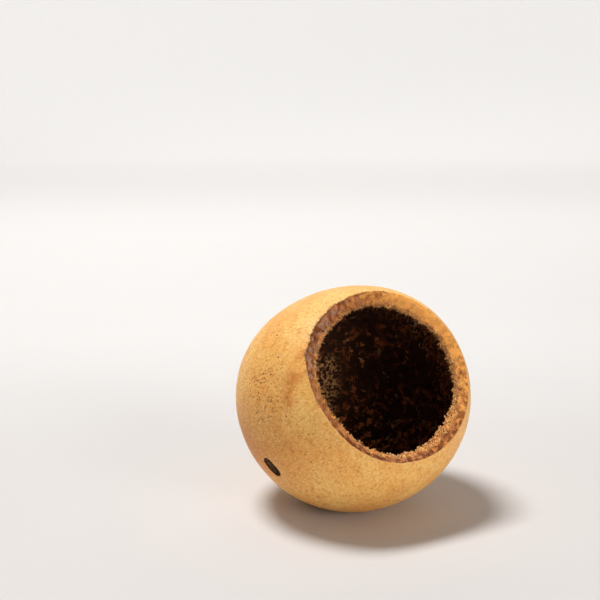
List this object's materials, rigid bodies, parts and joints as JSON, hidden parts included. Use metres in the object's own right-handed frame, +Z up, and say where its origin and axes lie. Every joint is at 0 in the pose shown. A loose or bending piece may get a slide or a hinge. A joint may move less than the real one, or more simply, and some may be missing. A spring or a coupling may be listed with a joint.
{
  "type": "bell cup seed pod",
  "caption": "Dried round woody fruit shell cut open as a small cup, with a rough sawn rim, dark fibrous inside and a drilled stem hole low on its side.",
  "frame": {"origin": "bottom centre of the cup's box, on the flat spot that it rests on", "axes": "+Z up from the surface that it rests on; the mouth axis lies in the YZ plane, facing -Y and 31 degrees above the horizontal"},
  "size_m": [0.0584, 0.056, 0.0554],
  "materials": {
    "rind": "matte"
  },
  "bodies": {
    "root": {"cup_shell": "rind"}
  },
  "joints": []
}
